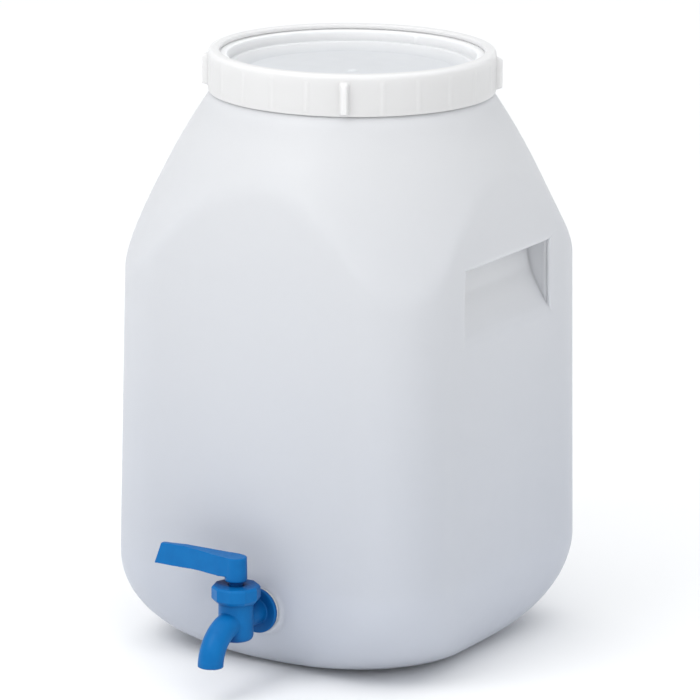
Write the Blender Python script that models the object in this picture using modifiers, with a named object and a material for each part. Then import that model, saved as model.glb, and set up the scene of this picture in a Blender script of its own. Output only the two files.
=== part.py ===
"""Wide-mouth dispensing canister for liquid detergent, with a two-piece screw lid and a quarter-turn tap.

Metres, +Z up. The origin is the centre of the base, on the surface that the canister stands on. The tap is on
the -Y face and the handholds are in the -X and +X faces. Everything is at rest: lid tight and tap closed.
"""

from collections import namedtuple
from math import cos, hypot, pi, sin

import bmesh
import bpy
from mathutils import Matrix, Vector

# ---- Driving dimensions, in metres and radians ----

GAP = 0.0003  # between faces that touch on the real object

# Tank
BODY_HALF = 0.1235  # half the width across the flat faces, at the shoulder
BASE_FLARE = 0.0056  # how much further out each flat face stands at the base
CORNER_RADIUS = 0.0466
WALL = 0.0028
HEIGHT = 0.4152  # from the base to the top of the lid
BASE_ROUNDING_HEIGHT = 0.0676
BASE_ROUNDING_INSET = 0.0432
CORNER_GROWTH = 1.385  # how fast the corners open out, per metre of inset, towards the round base
SHOULDER_TOP_FLARE = 0.68  # outward run for each unit of drop, just under the ring
SHOULDER_FLARE = 0.495  # the same, once the shoulder has straightened
SHOULDER_CURVE = 0.055  # drop over which it straightens
SHOULDER_OVERLAP = 0.0021  # how far the shoulder's top edge lies inside the ring's outer edge
NECK_RADIUS = 0.0913
NECK_WALL = 0.0030

# Handholds
HANDHOLD_BELOW_ARCH = 0.0568  # from the top of the face's arch to the ledge that the fingers pull on
HANDHOLD_WIDTH = 0.116
HANDHOLD_HEIGHT = 0.049
HANDHOLD_DEPTH = 0.020
HANDHOLD_ROUNDING = 0.0060

# Lid
RING_HEIGHT = 0.0282
RING_WALL = 0.0041
RING_LIP = 0.0032  # thickness of the lip that holds the inner lid down
RING_LIP_WIDTH = 0.0078
RING_RIM_ROUNDING = 0.0026
LUG_COUNT = 4
LUG_HEIGHT = 0.0046
LUG_WIDTH = 0.0062
LUG_START_ANGLE = 0.49
RIBS_BETWEEN_LUGS = 5
RIB_HEIGHT = 0.0008
RIB_WIDTH = 0.0024
GRIP_MARGIN = 0.0022  # plain band above and below the lugs and ribs
FLANGE_THICKNESS = 0.0025
LID_THICKNESS = 0.0020
LID_LEDGE_WIDTH = 0.0026
LID_LEDGE_DEPTH = 0.0105  # below the top of the lid
LID_SLOPE_WIDTH = 0.0082  # from the ledge in to the disc
LID_DISC_DEPTH = 0.0158
LID_WALL_DRAFT = 0.0012
LID_NECK_CLEARANCE = 0.0008
LID_NUB_RADIUS = 0.0045
LID_NUB_HEIGHT = 0.0012
GASKET_THICKNESS = 0.0020

# Tap: heights and reaches are from the axis of the hole in the tank
TAP_HEIGHT = 0.0497
TAP_OFFSET = 0.0075  # to the side of the face's middle
PAD_MARGIN = 0.0042  # round the tap's flange
PAD_PROUD = 0.0005
PAD_DRAFT = 0.0060
PAD_DEPTH = 0.0200
TAP_FLANGE_MARGIN = 0.0008  # round the washer
TAP_FLANGE_THICKNESS = 0.0030
WASHER_WIDTH = 0.0040
WASHER_THICKNESS = 0.0020
SHANK_RADIUS = 0.0093
SHANK_BORE = 0.0060
SHANK_PAST_NUT = 0.0045
LOCK_NUT_WALL = 0.0048  # at its corners
LOCK_NUT_THICKNESS = 0.0072
TAP_NECK_RADIUS = 0.0090
BARREL_REACH = 0.0245  # from the flange's face to the barrel's axis
BARREL_WALL = 0.0026
BARREL_BELOW_SEAL = 0.0053
BARREL_FLOOR = 0.0030
BARREL_ROUNDING = 0.0040
BARREL_TOP = 0.0217
SPOUT_RADIUS = 0.0087
SPOUT_WALL = 0.0025
SPOUT_REACH = 0.0315
SPOUT_DROP = 0.0243
SPOUT_START = 0.0040
PLUG_RADIUS = 0.0090
PLUG_CLEARANCE = 0.0003
PLUG_PORT = 0.0050
PLUG_TOP = 0.0192
SEAL_MARGIN = 0.0022  # from the inlet's edge to the middle of a seal
SEAL_SECTION = 0.00075
STEM_RADIUS = 0.0049
STEM_SQUARE = 0.0066
STEM_SHOWN = 0.0027  # between the bonnet nut and the handle
BONNET_WALL = 0.00335  # at its corners
BONNET_SIDES = 10
BONNET_HEIGHT = 0.0115
BONNET_PLATE = 0.0030
BONNET_CHAMFER = 0.0022
HANDLE_RADIUS = 0.0077
HANDLE_HEIGHT = 0.0158
HANDLE_LENGTH = 0.0650
HANDLE_TIP_HEIGHT = 0.0150
HANDLE_TIP_THICKNESS = 0.0036
HANDLE_TIP_SLANT = 0.0055
HANDLE_TIP_RISE = 0.0018
HANDLE_SOCKET_DEPTH = 0.0110
HANDLE_EDGE = 0.0010
LEVER_UNDERCUT = 0.17  # height of the lever's underside at the boss, as a share of the boss's height
LEVER_ARCH = 0.08  # how far the underside is arched up at its middle, in the same share
# Lever sections: share of the length, and share of the way from the width at the boss to the width at the tip
LEVER_SHOULDER = (0.17, 0.10)
LEVER_MIDDLE = (0.48, 0.50)
LEVER_NECK = (0.80, 0.87)

# Threads
Thread = namedtuple("Thread", "lead turns base crest height clearance steps")
MOUTH_THREAD = Thread(0.0080, 1.25, 0.0034, 0.0020, 0.0024, 0.0008, 60)
SHANK_THREAD = Thread(0.0030, 3.5, 0.0015, 0.0008, 0.0011, 0.0003, 24)
NUT_THREAD = SHANK_THREAD._replace(turns=1.5)
BONNET_THREAD = Thread(0.0030, 1.5, 0.0015, 0.0008, 0.0011, 0.0003, 24)
THREAD_GRIP = 0.0006  # how far a ridge is rooted in its wall

# Fineness of the round shapes
BIG_STEPS = 60
SMALL_STEPS = 24
CORNER_STEPS = 7
ROUNDING_STEPS = 7
SHOULDER_STEPS = 4
SPOUT_STEPS = 8

# ---- Dimensions that follow ----

RIM = HEIGHT - RING_LIP - FLANGE_THICKNESS - GASKET_THICKNESS - 3 * GAP
RING_BASE = HEIGHT - RING_HEIGHT
SHELF = RING_BASE - 2 * GAP
RING_INNER = NECK_RADIUS + MOUTH_THREAD.height + MOUTH_THREAD.clearance
RING_RADIUS = RING_INNER + RING_WALL
SHOULDER_RADIUS = RING_RADIUS - SHOULDER_OVERLAP
MOUTH_RADIUS = NECK_RADIUS - NECK_WALL
LIP_UNDERSIDE = HEIGHT - RING_LIP
FLANGE_TOP = LIP_UNDERSIDE - GAP
FLANGE_UNDERSIDE = FLANGE_TOP - FLANGE_THICKNESS
FLANGE_RADIUS = RING_INNER - 2 * GAP
LID_WALL_RADIUS = MOUTH_RADIUS - LID_NECK_CLEARANCE
LID_LEDGE_RADIUS = LID_WALL_RADIUS - LID_WALL_DRAFT - LID_THICKNESS - LID_LEDGE_WIDTH
LID_DISC_RADIUS = LID_LEDGE_RADIUS - LID_SLOPE_WIDTH
COLUMN_TOP = HEIGHT + 0.05  # the tank's column is built past the rim and then cut by the shoulder
COLUMN_REACH = 1.5 * BODY_HALF  # radius that the shoulder is built out to, past the column's corners

BORE_RADIUS = PLUG_RADIUS + PLUG_CLEARANCE
BARREL_RADIUS = BORE_RADIUS + BARREL_WALL
SEAL_SPACING = SHANK_BORE + SEAL_MARGIN
BARREL_BOTTOM = SEAL_SPACING + BARREL_BELOW_SEAL
BONNET_TOP = BARREL_TOP + GAP + BONNET_PLATE
BONNET_BASE = BONNET_TOP - BONNET_HEIGHT
HANDLE_BASE = BONNET_TOP + STEM_SHOWN
BONNET_ROOT = BARREL_RADIUS + BONNET_THREAD.height + BONNET_THREAD.clearance
BONNET_RADIUS = BONNET_ROOT + BONNET_WALL
NUT_ROOT = SHANK_RADIUS + SHANK_THREAD.height + SHANK_THREAD.clearance
LOCK_NUT_RADIUS = NUT_ROOT + LOCK_NUT_WALL
TAP_HOLE_RADIUS = SHANK_RADIUS + SHANK_THREAD.height + 2 * GAP
WASHER_RADIUS = TAP_HOLE_RADIUS + WASHER_WIDTH
TAP_FLANGE_RADIUS = WASHER_RADIUS + TAP_FLANGE_MARGIN
PAD_RADIUS = TAP_FLANGE_RADIUS + PAD_MARGIN


def flat_half(z):
    """Half the width across the flat faces at height z, before the base is rounded off."""
    return BODY_HALF + BASE_FLARE * (1 - z / SHELF)


def shoulder_radius(drop):
    """Radius of the shoulder at a distance below its top edge."""
    curved = min(drop, SHOULDER_CURVE)
    lost = (SHOULDER_TOP_FLARE - SHOULDER_FLARE) * curved * curved / 2 / SHOULDER_CURVE
    return SHOULDER_RADIUS + SHOULDER_TOP_FLARE * curved - lost + SHOULDER_FLARE * (drop - curved)


def arch_top():
    """Height at which the shoulder is as wide as a flat face, at the middle of the face."""
    low, high = 0.0, SHELF
    for _ in range(40):
        drop = (low + high) / 2
        if shoulder_radius(drop) < BODY_HALF:
            low = drop
        else:
            high = drop
    return SHELF - low


HANDHOLD_TOP = arch_top() - HANDHOLD_BELOW_ARCH
PAD_FACE = flat_half(TAP_HEIGHT + PAD_RADIUS) + PAD_PROUD
FLANGE_BACK = PAD_FACE + WASHER_THICKNESS + 2 * GAP
FLANGE_FACE = FLANGE_BACK + TAP_FLANGE_THICKNESS
BARREL_Y = -FLANGE_FACE - BARREL_REACH
PAD_BACK = PAD_FACE - WALL
INNER_WASHER_BACK = PAD_BACK - GAP - WASHER_THICKNESS
LOCK_NUT_FACE = INNER_WASHER_BACK - GAP
SHANK_END = LOCK_NUT_FACE - LOCK_NUT_THICKNESS - SHANK_PAST_NUT

BARREL_PLACE = Matrix.Translation((TAP_OFFSET, BARREL_Y, TAP_HEIGHT))
# Turned shapes in this frame run out of the tank: their +Z is the tank's -Y, and 0 is the tank's centre plane
TAP_AXIS = Matrix.Translation((TAP_OFFSET, 0, TAP_HEIGHT)) @ Matrix.Rotation(pi / 2, 4, "X")
ABOUT_X = Matrix.Rotation(pi / 2, 4, "Y")

# ---- Tools ----


def new_collection(name, is_helper=False):
    group = bpy.data.collections.new(name)
    group.hide_render = is_helper
    bpy.context.scene.collection.children.link(group)
    return group


def plastic(name, colour, roughness, alpha=1.0):
    material = bpy.data.materials.new(name)
    material.use_nodes = True
    shader = material.node_tree.nodes["Principled BSDF"]
    shader.inputs["Base Color"].default_value = (*colour, 1)
    shader.inputs["Roughness"].default_value = roughness
    shader.inputs["Metallic"].default_value = 0
    shader.inputs["Alpha"].default_value = alpha
    material.diffuse_color = (*colour, 1)
    return material


def place(name, mesh, group, where=None, material=None):
    """Puts a mesh in a collection as an object. A helper gets no material."""
    thing = bpy.data.objects.new(name, mesh)
    group.objects.link(thing)
    thing.matrix_world = where or Matrix()
    if group.hide_render:
        thing.hide_render = True
        thing.display_type = "WIRE"
    if material:
        mesh.materials.append(material)
        mesh.shade_smooth()
        mesh.set_sharp_from_angle(angle=0.6)
    return thing


def mesh_from(bm, name):
    mesh = bpy.data.meshes.new(name)
    bmesh.ops.recalc_face_normals(bm, faces=bm.faces)
    bm.to_mesh(mesh)
    bm.free()
    return mesh


def turned(name, profile, group, steps=SMALL_STEPS, where=None, material=None):
    """Turns (radius, height) points about Z. They run down the outer side. They close up, or end on the axis."""
    mesh = bpy.data.meshes.new(name)
    count = len(profile)
    edges = [(i, i + 1) for i in range(count - 1)]
    if profile[0][0] > 0:
        edges.append((count - 1, 0))
    mesh.from_pydata([(radius, 0, z) for radius, z in profile], edges, [])
    thing = place(name, mesh, group, where, material)
    screw = thing.modifiers.new("turn", "SCREW")
    screw.steps = screw.render_steps = steps
    screw.use_merge_vertices = True
    screw.merge_threshold = 0.00001
    return thing


def rod(name, radius, low, high, group, steps=SMALL_STEPS, where=None):
    return turned(name, [(0, high), (radius, high), (radius, low), (0, low)], group, steps, where)


def pipe(name, inner, outer, low, high, group, steps=SMALL_STEPS, where=None, material=None):
    profile = [(inner, high), (outer, high), (outer, low), (inner, low)]
    return turned(name, profile, group, steps, where, material)


def box(name, size, centre, group, where=None):
    bm = bmesh.new()
    bmesh.ops.create_cube(bm, size=1, matrix=Matrix.Translation(centre) @ Matrix.Diagonal((*size, 1)))
    return place(name, mesh_from(bm, name), group, where)


def loft(name, sections, group, where=None, material=None):
    """A closed solid through sections with equal numbers of points, which run anticlockwise, bottom to top."""
    bm = bmesh.new()
    rings = [[bm.verts.new(point) for point in section] for section in sections]
    for lower, upper in zip(rings, rings[1:]):
        for i in range(len(lower)):
            bm.faces.new((lower[i - 1], lower[i], upper[i], upper[i - 1]))
    bm.faces.new(reversed(rings[0]))
    bm.faces.new(rings[-1])
    return place(name, mesh_from(bm, name), group, where, material)


def tube(name, points, radius, group, where):
    """A curve with a round bevel and filled caps, made a mesh so that it can be joined or cut."""
    curve = bpy.data.curves.new(name, "CURVE")
    curve.dimensions = "3D"
    curve.bevel_depth = radius
    curve.bevel_resolution = 5
    curve.use_fill_caps = True
    spline = curve.splines.new("POLY")
    spline.points.add(len(points) - 1)
    for point, place_of in zip(spline.points, points):
        point.co = (*place_of, 1)
    path = bpy.data.objects.new(name, curve)
    group.objects.link(path)
    graph = bpy.context.evaluated_depsgraph_get()
    bm = bmesh.new()
    bm.from_mesh(bpy.data.meshes.new_from_object(path.evaluated_get(graph)))
    bmesh.ops.remove_doubles(bm, verts=bm.verts, dist=0.000005)
    bpy.data.objects.remove(path)
    return place(name, mesh_from(bm, name), group, where)


def combine(thing, operation, *others):
    """Adds a Boolean for each other shape, in order."""
    for other in others:
        cut = thing.modifiers.new(f"{operation} {other.name}".lower(), "BOOLEAN")
        cut.operation = operation
        cut.object = other
        cut.solver = "EXACT"
    return thing


def soften(thing, width, segments=2):
    bevel = thing.modifiers.new("edges", "BEVEL")
    bevel.width = width
    bevel.segments = segments
    bevel.limit_method = "ANGLE"


def thread_offset(thread):
    """Height of a male ridge above the female ridge that it pulls on, centre to centre."""
    slope = (thread.base - thread.crest) / 2 / thread.height
    return thread.base - slope * (thread.height + thread.clearance) + GAP


def thread_length(thread):
    return thread.lead * thread.turns + thread.base


def ridge(name, thread, root, low, group, inward=False, where=None):
    """A right-hand helical ridge from height low, standing out of a wall of radius root, or into it from outside."""
    out = -1 if inward else 1
    middle = low + thread.base / 2
    slope = (thread.base - thread.crest) / 2 / thread.height
    half_foot = thread.base / 2 + slope * THREAD_GRIP
    foot, crest = root - out * THREAD_GRIP, root + out * thread.height
    corners = [
        (foot, middle - half_foot),
        (crest, middle - thread.crest / 2),
        (crest, middle + thread.crest / 2),
        (foot, middle + half_foot),
    ]
    bm = bmesh.new()
    bm.faces.new([bm.verts.new((radius, 0, z)) for radius, z in corners])
    steps = round(thread.steps * thread.turns)
    bmesh.ops.spin(
        bm,
        geom=bm.verts[:] + bm.edges[:] + bm.faces[:],
        cent=(0, 0, 0),
        axis=(0, 0, 1),
        dvec=(0, 0, thread.lead * thread.turns / steps),
        angle=2 * pi * thread.turns,
        steps=steps,
    )
    # Turned by half a facet, so that its ends meet the wall inside a facet and not along an edge
    half_facet = Matrix.Rotation(pi / thread.steps, 3, "Z")
    bmesh.ops.rotate(bm, verts=bm.verts, cent=(0, 0, 0), matrix=half_facet)
    return place(name, mesh_from(bm, name), group, where)


# ---- Tank ----


def body_profile():
    """(half width, corner radius, height) of the tank's square column, from the base up to past the rim."""
    profile = []
    for i in range(ROUNDING_STEPS + 1):
        angle = pi / 2 * i / ROUNDING_STEPS
        z = BASE_ROUNDING_HEIGHT * (1 - cos(angle))
        inset = BASE_ROUNDING_INSET * (1 - sin(angle))
        profile.append((flat_half(z) - inset, CORNER_RADIUS + CORNER_GROWTH * inset, z))
    profile.append((flat_half(COLUMN_TOP), CORNER_RADIUS, COLUMN_TOP))
    return profile


def moved_in(profile, wall):
    """The profile one wall further in, along its own normals."""
    moved = []
    for i, (half, corner, z) in enumerate(profile):
        before = profile[max(i - 1, 0)]
        after = profile[min(i + 1, len(profile) - 1)]
        up = Vector((after[0] - before[0], after[2] - before[2])).normalized()
        moved.append((half - wall * up.y, corner - wall * up.y, z + wall * up.x))
    return moved


def rounded_square(half, corner, z):
    corner = min(corner, half - 2 * GAP)
    points = []
    for quarter in range(4):
        turn = Matrix.Rotation(quarter * pi / 2, 3, "Z")
        for i in range(CORNER_STEPS + 1):
            angle = pi / 2 * i / CORNER_STEPS
            x = half - corner + corner * cos(angle)
            y = half - corner + corner * sin(angle)
            points.append(turn @ Vector((x, y, z)))
    return points


def column(name, profile, group):
    return loft(name, [rounded_square(*row) for row in profile], group)


def shoulder_profile(wall):
    """(radius, height) from the shelf down to where the shoulder is wider than the column, one wall further in."""
    drops = [SHOULDER_CURVE * i / SHOULDER_STEPS for i in range(SHOULDER_STEPS + 1)]
    drops.append(SHOULDER_CURVE + (COLUMN_REACH - shoulder_radius(SHOULDER_CURVE)) / SHOULDER_FLARE)
    flares = [SHOULDER_TOP_FLARE + (SHOULDER_FLARE - SHOULDER_TOP_FLARE) * min(d / SHOULDER_CURVE, 1) for d in drops]
    points = []
    for drop, flare in zip(drops, flares):
        length = hypot(1, flare)
        points.append((shoulder_radius(drop) - wall / length, SHELF - drop - wall * flare / length))
    radius, z = points[0]
    points[0] = (radius + flares[0] * (z - SHELF + wall), SHELF - wall)
    return points


def shoulder(name, wall, neck_radius, neck_top, group):
    """The domed cone that rounds off the column, with the neck on it."""
    profile = [(0, neck_top), (neck_radius, neck_top), (neck_radius, SHELF - wall)]
    profile += shoulder_profile(wall)
    profile += [(profile[-1][0], -WALL), (0, -WALL)]
    return turned(name, profile, group, BIG_STEPS)


def handhold(name, grow, side, group):
    """A wedge under a level ledge, deepest at the top, in the -X or +X face."""
    depth = HANDHOLD_DEPTH + grow
    half = HANDHOLD_WIDTH / 2 + grow
    top = HANDHOLD_TOP + grow
    foot = HANDHOLD_TOP - HANDHOLD_HEIGHT - grow
    face = flat_half(HANDHOLD_TOP)
    outside = face + HANDHOLD_DEPTH
    slope = depth / (top - foot)
    outline = [(outside, foot - (outside - face) / slope), (outside, top), (face - depth, top)]
    sections = [[(side * x, y, z) for x, z in outline] for y in (-half, half)]
    wedge = loft(name, sections, group)
    soften(wedge, HANDHOLD_ROUNDING + grow, 3)
    return wedge


def tap_seat(name, radius, face, draft, group):
    """The round seat moulded for the tap: a short cone that runs back into the tank."""
    back = face - PAD_DEPTH
    profile = [(0, face), (radius, face), (radius + draft, back), (0, back)]
    return turned(name, profile, group, SMALL_STEPS, TAP_AXIS)


def make_tank(parts, helpers, material):
    outer = body_profile()
    tank = loft("tank", [rounded_square(*row) for row in outer], parts, material=material)
    combine(tank, "INTERSECT", shoulder("shoulder_outside", 0, NECK_RADIUS, RIM, helpers))
    seat = tap_seat("seat_outside", PAD_RADIUS, PAD_FACE, PAD_DRAFT, helpers)
    thread_low = RING_BASE + GAP + thread_offset(MOUTH_THREAD)
    combine(tank, "UNION", seat, ridge("neck_thread", MOUTH_THREAD, NECK_RADIUS, thread_low, helpers))

    cavity = column("cavity", moved_in(outer, WALL), helpers)
    combine(cavity, "INTERSECT", shoulder("shoulder_inside", WALL, MOUTH_RADIUS, RIM + WALL, helpers))
    combine(cavity, "UNION", tap_seat("seat_inside", PAD_RADIUS - WALL, PAD_BACK, 0, helpers))
    for side, label in ((-1, "left"), (1, "right")):
        combine(cavity, "DIFFERENCE", handhold(f"handhold_{label}_inside", WALL, side, helpers))
        combine(tank, "DIFFERENCE", handhold(f"handhold_{label}", 0, side, helpers))
    hole = rod("tap_hole", TAP_HOLE_RADIUS, PAD_BACK - WALL, PAD_FACE + WALL, helpers, where=TAP_AXIS)
    combine(tank, "DIFFERENCE", cavity, hole)


# ---- Lid ----


def grip(name, angle, height, width, helpers):
    low = RING_BASE + GRIP_MARGIN
    high = HEIGHT - RING_RIM_ROUNDING - GRIP_MARGIN
    size = (height + RING_WALL / 2, width, high - low)
    centre = (RING_RADIUS + height / 2 - RING_WALL / 4, 0, (low + high) / 2)
    return box(name, size, centre, helpers, Matrix.Rotation(angle, 4, "Z"))


def make_ring(parts, helpers, material):
    rounding = RING_RIM_ROUNDING
    lip_edge = RING_RADIUS - RING_LIP_WIDTH
    profile = [(lip_edge, HEIGHT - rounding / 2), (lip_edge + rounding / 2, HEIGHT)]
    for i in range(4):
        angle = pi / 2 * i / 3
        centre = RING_RADIUS - rounding
        profile.append((centre + rounding * sin(angle), HEIGHT - rounding + rounding * cos(angle)))
    profile += [(RING_RADIUS, RING_BASE), (RING_INNER, RING_BASE), (RING_INNER, LIP_UNDERSIDE)]
    profile.append((lip_edge, LIP_UNDERSIDE))
    ring = turned("screw_ring", profile, parts, BIG_STEPS, material=material)
    combine(ring, "UNION", ridge("ring_thread", MOUTH_THREAD, RING_INNER, RING_BASE + GAP, helpers, inward=True))
    places = LUG_COUNT * (RIBS_BETWEEN_LUGS + 1)
    for i in range(places):
        angle = LUG_START_ANGLE + 2 * pi * i / places
        if i % (RIBS_BETWEEN_LUGS + 1) == 0:
            bar = grip(f"lug_{i:02d}", angle, LUG_HEIGHT, LUG_WIDTH, helpers)
            soften(bar, LUG_WIDTH / 4, 1)
        else:
            bar = grip(f"rib_{i:02d}", angle, RIB_HEIGHT, RIB_WIDTH, helpers)
        combine(ring, "UNION", bar)


def make_inner_lid(parts, material):
    ledge = HEIGHT - LID_LEDGE_DEPTH
    disc = HEIGHT - LID_DISC_DEPTH
    thick = LID_THICKNESS
    wall_foot = LID_WALL_RADIUS - LID_WALL_DRAFT
    profile = [
        (0, disc + LID_NUB_HEIGHT),
        (LID_NUB_RADIUS - LID_NUB_HEIGHT, disc + LID_NUB_HEIGHT),
        (LID_NUB_RADIUS, disc),
        (LID_DISC_RADIUS, disc),
        (LID_LEDGE_RADIUS - thick / 2, ledge - thick / 2),
        (LID_LEDGE_RADIUS, ledge),
        (wall_foot - thick, ledge),
        (LID_WALL_RADIUS - thick, FLANGE_TOP),
        (FLANGE_RADIUS, FLANGE_TOP),
        (FLANGE_RADIUS, FLANGE_UNDERSIDE),
        (LID_WALL_RADIUS, FLANGE_UNDERSIDE),
        (wall_foot, ledge - thick),
        (LID_LEDGE_RADIUS + thick / 3, ledge - thick),
        (LID_DISC_RADIUS + thick / 3, disc - thick),
        (0, disc - thick),
    ]
    turned("inner_lid", profile, parts, BIG_STEPS, material=material)


def make_lid_gasket(parts, material):
    low = RIM + GAP
    inner = LID_WALL_RADIUS + 2 * GAP
    outer = FLANGE_RADIUS - 2 * GAP
    pipe("lid_gasket", inner, outer, low, low + GASKET_THICKNESS, parts, BIG_STEPS, material=material)


# ---- Tap ----


def barrel_profile():
    """The barrel's outside: threaded top, plain side and a rounded blind bottom."""
    profile = [(0, BARREL_TOP), (BARREL_RADIUS, BARREL_TOP)]
    for i in range(5):
        angle = pi / 2 * i / 4
        radius = BARREL_RADIUS - BARREL_ROUNDING * (1 - cos(angle))
        profile.append((radius, BARREL_ROUNDING - BARREL_BOTTOM - BARREL_ROUNDING * sin(angle)))
    profile.append((0, -BARREL_BOTTOM))
    return profile


def spout_path(past_end):
    """A quarter ellipse from level to straight down, in the barrel's frame."""
    points = []
    for i in range(SPOUT_STEPS + 1):
        angle = pi / 2 * i / SPOUT_STEPS
        forward = SPOUT_START + (SPOUT_REACH - SPOUT_START) * sin(angle)
        points.append((0, -forward, SPOUT_DROP * (cos(angle) - 1)))
    points[-1] = (0, -SPOUT_REACH, -SPOUT_DROP - past_end)
    return points


def nut_thread_low():
    """Where the lock nut's thread starts, centred in the nut."""
    return LOCK_NUT_FACE - (LOCK_NUT_THICKNESS + thread_length(NUT_THREAD)) / 2


def make_tap_body(parts, helpers, material):
    tap = turned("tap_body", barrel_profile(), parts, where=BARREL_PLACE, material=material)
    flange = rod("tap_flange", TAP_FLANGE_RADIUS, FLANGE_BACK, FLANGE_FACE, helpers, where=TAP_AXIS)
    neck = rod("tap_neck", TAP_NECK_RADIUS, FLANGE_BACK, -BARREL_Y, helpers, where=TAP_AXIS)
    shank = rod("tap_shank", SHANK_RADIUS, SHANK_END, FLANGE_FACE - GAP, helpers, where=TAP_AXIS)
    # The nut is pushed inwards, so its ridge bears on the male ridge from the outer side
    first = nut_thread_low() - thread_offset(SHANK_THREAD)
    turns_past_nut = int((first - SHANK_END - GAP) / SHANK_THREAD.lead)
    shank_low = first - turns_past_nut * SHANK_THREAD.lead
    shank_thread = ridge("shank_thread", SHANK_THREAD, SHANK_RADIUS, shank_low, helpers, where=TAP_AXIS)
    bonnet_low = BONNET_BASE + 2 * GAP + thread_offset(BONNET_THREAD)
    bonnet_thread = ridge("barrel_thread", BONNET_THREAD, BARREL_RADIUS, bonnet_low, helpers, where=BARREL_PLACE)
    spout = tube("spout", spout_path(0), SPOUT_RADIUS, helpers, BARREL_PLACE)
    combine(tap, "UNION", flange, neck, shank, shank_thread, bonnet_thread, spout)

    spout_bore = tube("spout_bore", spout_path(SPOUT_WALL), SPOUT_RADIUS - SPOUT_WALL, helpers, BARREL_PLACE)
    shank_bore = rod("shank_bore", SHANK_BORE, SHANK_END - GAP, -BARREL_Y, helpers, where=TAP_AXIS)
    floor = BARREL_FLOOR - BARREL_BOTTOM
    bore = rod("barrel_bore", BORE_RADIUS, floor, BARREL_TOP + BARREL_FLOOR, helpers, 36, BARREL_PLACE)
    combine(tap, "DIFFERENCE", spout_bore, shank_bore, bore)


def make_clamp(parts, helpers, rubber, material):
    """What clamps the tap to the tank: a gasket on each side of the wall and a threaded nut inside."""
    outer = PAD_FACE + GAP
    for name, low in (("tap_outer_gasket", outer), ("tap_inner_gasket", INNER_WASHER_BACK)):
        high = low + WASHER_THICKNESS
        pipe(name, TAP_HOLE_RADIUS, WASHER_RADIUS, low, high, parts, where=TAP_AXIS, material=rubber)
    low = LOCK_NUT_FACE - LOCK_NUT_THICKNESS
    edge = LOCK_NUT_THICKNESS / 6
    profile = [
        (0, LOCK_NUT_FACE),
        (LOCK_NUT_RADIUS, LOCK_NUT_FACE),
        (LOCK_NUT_RADIUS, low + edge),
        (LOCK_NUT_RADIUS - edge, low),
        (0, low),
    ]
    nut = turned("tap_lock_nut", profile, parts, 6, TAP_AXIS, material)
    root = NUT_ROOT
    combine(nut, "DIFFERENCE", rod("lock_nut_bore", root, low - GAP, LOCK_NUT_FACE + GAP, helpers, where=TAP_AXIS))
    combine(nut, "UNION", ridge("lock_nut_thread", NUT_THREAD, root, nut_thread_low(), helpers, True, TAP_AXIS))


def make_bonnet(parts, helpers, material):
    """The faceted nut that closes the barrel and keeps the plug in."""
    profile = [
        (0, BONNET_TOP),
        (BONNET_RADIUS - BONNET_CHAMFER / 2, BONNET_TOP),
        (BONNET_RADIUS, BONNET_TOP - BONNET_CHAMFER / 2),
        (BONNET_RADIUS, BONNET_BASE + BONNET_CHAMFER),
        (BONNET_RADIUS - BONNET_CHAMFER, BONNET_BASE),
        (0, BONNET_BASE),
    ]
    nut = turned("tap_bonnet_nut", profile, parts, BONNET_SIDES, BARREL_PLACE, material)
    root = BONNET_ROOT
    inside_top = BARREL_TOP + GAP
    chamber = rod("bonnet_chamber", root, BONNET_BASE - GAP, inside_top, helpers, where=BARREL_PLACE)
    stem_hole = rod("stem_hole", STEM_RADIUS + GAP, BONNET_BASE, BONNET_TOP + GAP, helpers, where=BARREL_PLACE)
    combine(nut, "DIFFERENCE", chamber, stem_hole)
    low = BONNET_BASE + 2 * GAP
    combine(nut, "UNION", ridge("bonnet_thread", BONNET_THREAD, root, low, helpers, True, BARREL_PLACE))
    seat = (PLUG_TOP + GAP, BARREL_TOP)
    pipe("stem_washer", STEM_RADIUS + GAP, PLUG_RADIUS, *seat, parts, where=BARREL_PLACE, material=material)


def make_plug(parts, helpers, rubber, material):
    """The turning core: a cross port between two ring seals, and a stem with a square end for the handle."""
    groove = PLUG_RADIUS - 2 * SEAL_SECTION - GAP
    half_groove = SEAL_SECTION + GAP
    profile = [(0, HANDLE_BASE), (STEM_RADIUS, HANDLE_BASE - GAP), (STEM_RADIUS, PLUG_TOP), (PLUG_RADIUS, PLUG_TOP)]
    for middle in (SEAL_SPACING, -SEAL_SPACING):
        high, low = middle + half_groove, middle - half_groove
        profile += [(PLUG_RADIUS, high), (groove, high), (groove, low), (PLUG_RADIUS, low)]
    foot = BARREL_FLOOR - BARREL_BOTTOM + GAP
    profile += [(PLUG_RADIUS, foot), (0, foot)]
    plug = turned("tap_plug", profile, parts, 36, BARREL_PLACE, material)
    square_low = HANDLE_BASE - STEM_SHOWN / 2
    square_high = HANDLE_BASE + HANDLE_SOCKET_DEPTH - GAP
    size = (STEM_SQUARE, STEM_SQUARE, square_high - square_low)
    square = box("stem_square", size, (0, 0, (square_low + square_high) / 2), helpers, BARREL_PLACE)
    combine(plug, "UNION", square)
    port = rod("plug_port", PLUG_PORT, -2 * PLUG_RADIUS, 2 * PLUG_RADIUS, helpers, where=BARREL_PLACE @ ABOUT_X)
    combine(plug, "DIFFERENCE", port)
    for name, middle in (("plug_seal_upper", SEAL_SPACING), ("plug_seal_lower", -SEAL_SPACING)):
        circle = []
        for i in range(8):
            angle = pi / 8 - 2 * pi * i / 8
            radius = PLUG_RADIUS - SEAL_SECTION + SEAL_SECTION * cos(angle)
            circle.append((radius, middle + SEAL_SECTION * sin(angle)))
        turned(name, circle, parts, where=BARREL_PLACE, material=rubber)


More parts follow.
